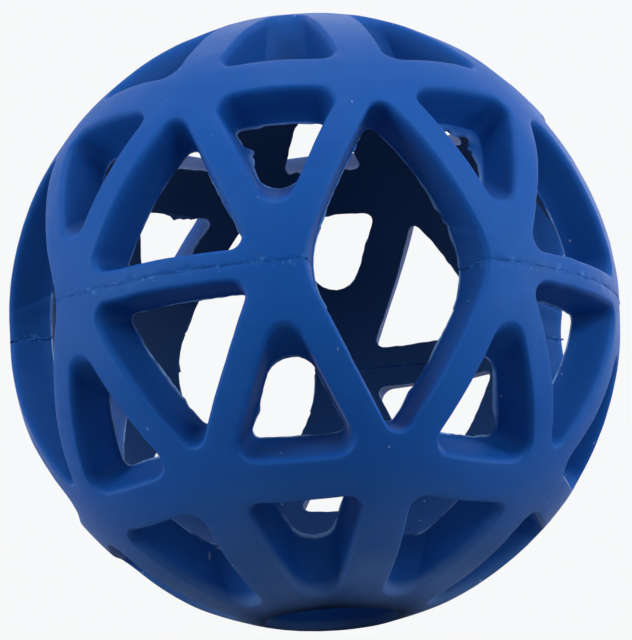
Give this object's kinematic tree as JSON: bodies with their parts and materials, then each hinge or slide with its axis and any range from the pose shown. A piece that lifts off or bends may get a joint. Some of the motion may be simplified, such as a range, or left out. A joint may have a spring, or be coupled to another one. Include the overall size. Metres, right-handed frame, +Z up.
{
  "type": "treat dispensing ball",
  "caption": "Hollow rubber lattice ball with three-cornered openings, tall gaps across its belt and a round opening at each end, for dropping treats as it rolls.",
  "frame": {"origin": "on the ball's axis at the height of its lowest edge, the rim of the lower end opening that it stands on", "axes": "+Z up along the axis through both end openings; -Y towards the front, through the middle of a tall opening across the belt; +X to the right"},
  "size_m": [0.1144, 0.1144, 0.1184],
  "materials": {
    "upper_rubber": "matte moulded rubber",
    "lower_rubber": "matte moulded rubber",
    "seam_bond": "cured bonding compound, dark and matte"
  },
  "bodies": {
    "root": {"upper_half_shell": "upper_rubber", "lower_half_shell": "lower_rubber", "seam_bond_right_front": "seam_bond", "seam_bond_right_back": "seam_bond", "seam_bond_left_back": "seam_bond", "seam_bond_left_front": "seam_bond"}
  },
  "joints": []
}
